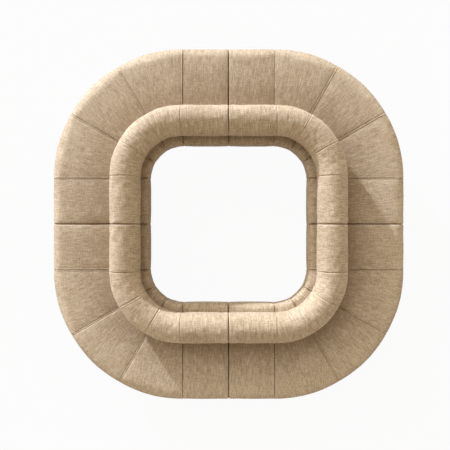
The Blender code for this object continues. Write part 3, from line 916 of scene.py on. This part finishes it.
def grid_mesh(grid, cloth, count):
    """Faces round the section and along the module, with the cloth coordinates of each panel."""
    lap = np.linalg.norm(grid[0, 0] - grid[0, -1])
    faces, coordinates = [], []
    row = 0
    for sheet in cloth:
        for i in range(len(sheet) - 1):
            for j in range(count):
                k = (j + 1) % count
                a, b = (row + i) * count, (row + i + 1) * count
                faces.append((a + j, b + j, b + k, a + k))
                corners = [sheet[i, j], sheet[i + 1, j], sheet[i + 1, k], sheet[i, k]]
                if k == 0:
                    corners[2] = corners[1] + (0, lap)
                    corners[3] = corners[0] + (0, lap)
                coordinates += corners
        row += len(sheet) - 1
    mesh = bpy.data.meshes.new("cover")
    mesh.from_pydata(grid.reshape(-1, 3).tolist(), [], faces)
    layer = mesh.uv_layers.new(name="cloth")
    layer.data.foreach_set("uv", np.array(coordinates, np.float32).reshape(-1))
    return mesh


def close_ends(mesh, count, windows):
    """Fills the two open ends of a cover, with a stepped recess in each where a link comes through."""
    bm = bmesh.new()
    bm.from_mesh(mesh)
    bm.verts.ensure_lookup_table()
    last = len(bm.verts) - count
    layer = bm.loops.layers.uv.active
    rings = [[bm.verts[first + k] for k in range(count)] for first in (0, last)]
    for ring, window in zip(rings, windows):
        edges = [bm.edges.get((ring[k - 1], ring[k])) for k in range(count)]
        rim, faces = [], []
        if window:
            steps = [[bm.verts.new(point) for point in corners] for corners in window]
            rim = [bm.edges.new((steps[0][k - 1], steps[0][k])) for k in range(4)]
            for outer, inner in zip(steps, steps[1:]):
                faces += [bm.faces.new((outer[k - 1], outer[k], inner[k], inner[k - 1])) for k in range(4)]
            faces.append(bm.faces.new(steps[-1]))
        filled = bmesh.ops.triangle_fill(bm, use_beauty=True, use_dissolve=False, edges=edges + rim)
        for face in faces + [f for f in filled["geom"] if isinstance(f, bmesh.types.BMFace)]:
            for loop in face.loops:
                co = loop.vert.co
                loop[layer].uv = (co.x + co.y, co.z)
    bmesh.ops.recalc_face_normals(bm, faces=bm.faces)
    for face in bm.faces:
        face.smooth = True
    bm.to_mesh(mesh)
    bm.free()
    mesh.set_sharp_from_angle(angle=radians(COVER_SHARP_ANGLE))


def linen(name, light, middle, dark):
    """Sand linen-look cloth: a plain weave of slubby yarns, thick and thin, mottled from yarn to yarn."""
    constants = {"Roughness": 0.8, "Specular IOR Level": 0.45, "Sheen Weight": 0.08, "Sheen Roughness": 0.6}
    cloth = Finish(name, constants)
    weave = cloth.node("ShaderNodeUVMap", {"uv_map": "cloth"})
    u, v = cloth.part(weave, 0), cloth.part(weave, 1)
    waver = cloth.cloud(weave, 35.0, 2.0) * 0.0016
    warp = cloth.cloud(cloth.stretched(weave, (1.0, 0.045, 1.0)), 330.0, 2.0)
    weft = cloth.cloud(cloth.stretched(weave, (0.06, 1.0, 1.0)), 300.0, 2.0)
    streak = cloth.cloud(cloth.stretched(weave, (1.0, 0.13, 1.0)), 85.0, 3.0, 0.65)
    bar = cloth.cloud(cloth.stretched(weave, (0.2, 1.0, 1.0)), 80.0, 2.0, 0.6)
    mottle = cloth.cloud(weave, 95.0, 3.0, 0.7)
    patch = cloth.cloud(weave, 4.5, 2.0)
    # Painted shade of pull lines: long soft dark and light streaks along each panel, in the colour only.
    pull_line_shade = cloth.cloud(cloth.stretched(weave, (1.0, 0.12, 1.0)), 24.0, 2.0)
    # Painted shade read from the cover: each panel's tone, partly shade, and the seat's shade and light by
    # distance out
    dye, fade = (
        cloth.node("ShaderNodeAttribute", {"attribute_name": key}, output="Fac") for key in ("dye", "fade")
    )
    step = 2 * pi / YARN_PITCH
    knit = ((u + waver) * step).sine() * ((v + waver) * step).sine()
    tone = 0.5 + 0.9 * (warp - 0.5) + 0.6 * (weft - 0.5) + 1.3 * (streak - 0.5) + 0.6 * (bar - 0.5)
    tone = tone + 1.15 * (mottle - 0.5) + 0.35 * (patch - 0.5) + 0.05 * knit + 0.35 * (pull_line_shade - 0.5)
    tone = tone + dye + fade
    cloth.surface({
        "Base Color": cloth.ramp(tone, ((0.12, dark), (0.5, middle), (0.88, light))),
        "Normal": cloth.bump(0.5 * knit + 1.2 * warp + 1.0 * weft, 0.0006, 0.5),
    })
    return cloth.material


LINEN = linen("sand_linen", (0.66, 0.535, 0.385), (0.475, 0.363, 0.240), (0.31, 0.218, 0.13))
seat = seat_section()
seat_still = seat[0][:, 1] < UNDERSIDE + PULLED_UNDER
roll_near = 1 - smooth_step(np.abs(seat[0][:, 0] - ROLL_LINE), *PRESSED_WIDTHS)
under_roll = np.where(seat[0][:, 1] > SLAB_TOP - PRESSED_BAND, roll_near, 0)
seat_fill = filled_cover(seat, seat_still, SEAT_SLACK, SEAT_SWELL)
seat_fill = seat_fill * (1 - under_roll)[None, :]
# Among the seat's looks is its painted shade and light, by distance out from the centre.
SEAT_LOOKS = {
    "lip": 0.0028, "depth": 0.0120, "groove": 0.0030, "crown": np.where(seat_still, 0, 0.0018),
    "pucker": (0.0011, 0.014, 55.0), "inner_share": 1.4, "inner_from": 0.07, "stitch_dip": 0.0032,
    "swells": ((3.1, 0.0011), (8.0, 0.0007)), "still": seat_still,
    "fade": np.interp(seat[0][:, 0], *zip(*PAINTED_SHADE)),
}
SEAM_FIRMNESS = ((1.0, 1.0, 1.0, 0.45), (1.1, 0.9, 1.0, 1.1), (1.25, 1.0, 1.0, 1.0), (1.0, 1.0, 1.0, 1.0))
seat_looks = [{**SEAT_LOOKS, "firmness": firmness} for firmness in SEAM_FIRMNESS]
# The recesses for the links, as half width, bottom and top
WINDOW = (0.032, 0.2035, 0.2665)
TRAVEL = (0.034, 0.1900, 0.3665)
TRAVEL_DEPTH = 0.0052
WINDOW_DEPTH = 0.014


def link_window(first):
    """The corners of the recess in one end of the cover, from the face inwards: a shallow strip as long as
    the links travel when a module is lifted, and in it the window of this end's own link."""
    face = END - CAP_RINGS[-1][1]
    steps = ((TRAVEL, face), (TRAVEL, TRAVEL_DEPTH), (WINDOW, TRAVEL_DEPTH), (WINDOW, WINDOW_DEPTH))
    result = []
    for (half, low, high), depth in steps:
        corners = ((-half, low), (half, low), (half, high), (-half, high))
        places = [(LINK_LINE + across, z) for across, z in corners]
        result.append([(a, depth, z) if first else (depth, a, z) for a, z in places])
    return result


def seat_shape(points):
    """Keeps the seat flat under the roll, where the roll rests on it."""
    rise = points[..., 2]
    points[..., 2] = np.where(under_roll > PRESSED_FLAT, np.minimum(rise, SLAB_TOP - ROLL_DIP), rise)
    return points


for number, (looks, tones_and_shade) in enumerate(zip(seat_looks, PANEL_TONES_AND_SHADE)):
    mesh = cover_mesh(seat, seat_fill, looks, number + SEAT_SEED, seat_shape, tones_and_shade)
    close_ends(mesh, len(seat[0]), (link_window(True), link_window(False)))
    cushion = in_module(number, "seat_cushion", mesh, LINEN, ("seat_cover", "seat_foam"))

# The backrest roll: round foam on the steel tube in a sleeve of the same cloth, sewn in five panels like
# the seat. It is flat only where it rests on the seat, and each seam gathers the cloth a little.
ROLL_LOOKS = {
    "lip": 0.0010, "depth": 0.0066, "groove": 0.0048, "crown": 0.0, "pucker": (0.0026, 0.022, 34.0),
    "inner_share": 1.2, "inner_from": 0.0, "stitch_dip": 0.0022, "firmness": (1.0, 1.0, 1.0, 1.0),
    "swells": ((4.0, 0.0018), (9.0, 0.0012)), "still": False, "fade": 0.0,
}
ROLL_SEED = 5
ROLL_EASE = 0.001
ROLL_STEP = 0.0115
ROLL_SLACK = 0.004
ROLL_SWELL = 0.007
ROLL_SETTLE = 1.045
ROLL_FULLNESS = 2 / 2.8
ROLL_FLAT = 0.002
# The roll's panel tones, partly painted shade: its straight panels are darker.
ROLL_TONES_AND_SHADE = (-0.05, -0.01, 0.01, 0.0, -0.05)


def roll_section():
    """A circle whose lower half settles on the seat, and so is fuller than a half circle."""
    radius = ROLL_RADIUS - ROLL_EASE
    points = []
    for d, z in arc_points((0.0, 0.0), radius, 270, -90, ROLL_STEP)[:-1]:
        if z < 0:
            d, z = (radius * (abs(v) / radius) ** ROLL_FULLNESS * (1 if v > 0 else -1) for v in (d, z))
            z *= ROLL_SETTLE
        points.append((ROLL_LINE + d, ROLL_HEIGHT + z))
    return as_section(points)


def roll_shape(points):
    """Presses the roll flat where it rests on the seat."""
    points[..., 2] = np.maximum(points[..., 2], ROLL_REST)
    return points


roll = roll_section()
roll_still = roll[0][:, 1] < ROLL_REST + ROLL_FLAT
roll_fill = filled_cover(roll, roll_still, ROLL_SLACK, ROLL_SWELL)
for number in range(len(MODULES)):
    mesh = cover_mesh(roll, roll_fill, ROLL_LOOKS, number + ROLL_SEED, roll_shape, ROLL_TONES_AND_SHADE)
    close_ends(mesh, len(roll[0]), (None, None))
    sleeve = in_module(number, "back_roll", mesh, LINEN, ("back_cover", "back_foam"))

# The top-stitching: one row of heavy brown thread beside each wedge seam, sewn through the seam allowance
# so that it sits in a shallow dip.
THREAD_PROUD = 0.0005
STITCHES = {"Pitch": 0.0118, "Length": 0.0084, "Thickness": 0.0025}
SEAT_HEM = 0.03
ROLL_HEM = 0.012


def sewing_thread():
    """Twisted polyester thread, a good deal darker than the cloth."""
    thread = Finish("sand_thread", {"Roughness": 0.7, "Specular IOR Level": 0.35, "Sheen Weight": 0.1})
    place = thread.place()
    ply = thread.cloud(place, 1400.0, 1.0)
    tone = thread.cloud(place, 40.0, 2.0)
    stops = ((0.3, (0.20, 0.135, 0.08)), (0.7, (0.33, 0.235, 0.145)))
    thread.surface({
        "Base Color": thread.ramp(0.6 * ply + 0.4 * tone, stops),
        "Normal": thread.bump(ply, 0.0002, 0.6),
    })
    return thread.material


def stitch_lines(section, field, looks, seed, shape, shown):
    """The rows of top-stitching on one module's cover, a little proud of the cloth."""
    spots = section[0]
    lines = []
    for number, side in STITCHED_SIDES.items():
        panel = PANELS[number]
        width = panel_width(panel, spots[:, 0])
        x = (width - STITCH_AT if side == "far" else np.full_like(width, STITCH_AT))[None, :]
        height = cover_height(section, field, number, x, width[None, :], looks, seed)
        points = shape(surface_points(panel, x, section, height + THREAD_PROUD))[0]
        lines.append([Vector(point) for point, seen in zip(points, shown) if seen])
    return lines


THREAD = sewing_thread()
seat_shown = (seat[0][:, 1] > UNDERSIDE + SEAT_HEM) & (under_roll < HIDDEN_BY_ROLL)
roll_shown = roll[0][:, 1] > ROLL_REST + ROLL_HEM
inner_side = np.arange(len(seat_shown)) < int(np.argmax(under_roll > HIDDEN_BY_ROLL))
for number, looks in enumerate(seat_looks):
    lines = []
    for side in (inner_side, ~inner_side):
        lines += stitch_lines(seat, seat_fill, looks, number + SEAT_SEED, seat_shape, seat_shown & side)
    lines += stitch_lines(roll, roll_fill, ROLL_LOOKS, number + ROLL_SEED, roll_shape, roll_shown)
    mesh = baked("stitching", lines_mesh(lines), STITCH_LINE, {**STITCHES, "Thread": THREAD})
    in_module(number, "stitching", mesh, THREAD)

# The room: a pale floor that stays white to the camera but for a faint shadow, a low soft sun and a broad
# higher glow from the upper left, light from the walls all round, and a camera straight above the ring.
CAMERA_HEIGHT = 4.99
IMAGE_SIZE = 450
FOCAL_PIXELS = 472.0
CENTRE_PIXEL = (228.65, 224.05)
SENSOR = 36.0
SUN_FROM = (-0.56, 0.83)
FLOOR_RADIUS = 30.0
FLOOR_SIDES = 96
LAMPS = (  # name, degrees over the horizon, power, spread in degrees, colour
    ("sun", 9.5, 4.6, 1.6, (0.89, 1.0, 1.20)),
    ("glow", 42.0, 1.45, 54.0, (1.0, 0.985, 0.96)),
)
OVERHEAD = 0.1
FROM_WALLS = 2.2
ROOM_TINT = (1.0, 0.865, 0.685)
FLOOR_WHITE = 0.95


def looked_at(nodes):
    """One for what the camera sees, in a reflection or through glass too, and nought for the light."""
    kinds = ("Camera", "Glossy", "Transmission")
    rays = [nodes.node("ShaderNodeLightPath", output=f"Is {kind} Ray") for kind in kinds]
    settings = {"operation": "ADD", "use_clamp": True}
    return nodes.node("ShaderNodeMath", settings, {0: rays[0] + rays[1], 1: rays[2]})


def pale_floor():
    """Pale grey to the light and almost white to the camera, which keeps a faint shadow."""
    constants = {"Base Color": (0.5, 0.5, 0.5, 1.0), "Roughness": 0.8, "Specular IOR Level": 0.1}
    floor = Finish("pale_floor", constants)
    white = floor.node("ShaderNodeEmission", None, {"Color": (1.0, 1.0, 1.0, 1.0), "Strength": 1.0})
    plain = Signal(floor, floor.shader.outputs[0])
    values = {0: looked_at(floor) * FLOOR_WHITE, 1: plain, 2: white}
    both = floor.node("ShaderNodeMixShader", None, values)
    floor.tree.links.new(both.socket, floor.tree.nodes["Material Output"].inputs["Surface"])
    return floor.material


bm = bmesh.new()
bmesh.ops.create_circle(bm, cap_ends=True, segments=FLOOR_SIDES, radius=FLOOR_RADIUS)
ground = piece("floor", finished_mesh(bm, "floor"), pale_floor())
if ground.data.polygons[0].normal.z < 0:
    ground.data.flip_normals()

world = bpy.data.worlds.new("studio")
world.use_nodes = True
bpy.context.scene.world = world
sky = Nodes(world.node_tree)
seen = looked_at(sky)
direction = sky.node("ShaderNodeTexCoord", output="Generated")
rise = sky.node("ShaderNodeSeparateXYZ", None, {0: direction}, output=2)
level = 1.0 - sky.node("ShaderNodeMath", {"operation": "ABSOLUTE"}, {0: rise})
room = OVERHEAD + FROM_WALLS * level * level
tints = {0: seen, 6: (*ROOM_TINT, 1.0), 7: (1.0, 1.0, 1.0, 1.0)}
tint = sky.node("ShaderNodeMix", {"data_type": "RGBA"}, tints, output=2)
sky.connect(world.node_tree.nodes["Background"], {"Color": tint, "Strength": room + (1.0 - room) * seen})

for name, elevation, power, spread, colour in LAMPS:
    light = bpy.data.lights.new(name, "SUN")
    light.energy, light.angle, light.color = power, radians(spread), colour
    lamp = bpy.data.objects.new(name, light)
    way = Vector((*SUN_FROM, 0.0)).normalized() * cos(radians(elevation))
    way.z = sin(radians(elevation))
    lamp.rotation_euler = way.to_track_quat("Z", "Y").to_euler()
    bpy.context.scene.collection.objects.link(lamp)

lens = bpy.data.cameras.new("camera")
lens.sensor_width = SENSOR
lens.lens = SENSOR * FOCAL_PIXELS / IMAGE_SIZE
lens.shift_x = (IMAGE_SIZE / 2 - CENTRE_PIXEL[0]) / IMAGE_SIZE
lens.shift_y = (CENTRE_PIXEL[1] - IMAGE_SIZE / 2) / IMAGE_SIZE
camera = bpy.data.objects.new("camera", lens)
camera.location = (0.0, 0.0, CAMERA_HEIGHT)
bpy.context.scene.collection.objects.link(camera)
bpy.context.scene.camera = camera
bpy.context.scene.view_settings.view_transform = "Standard"
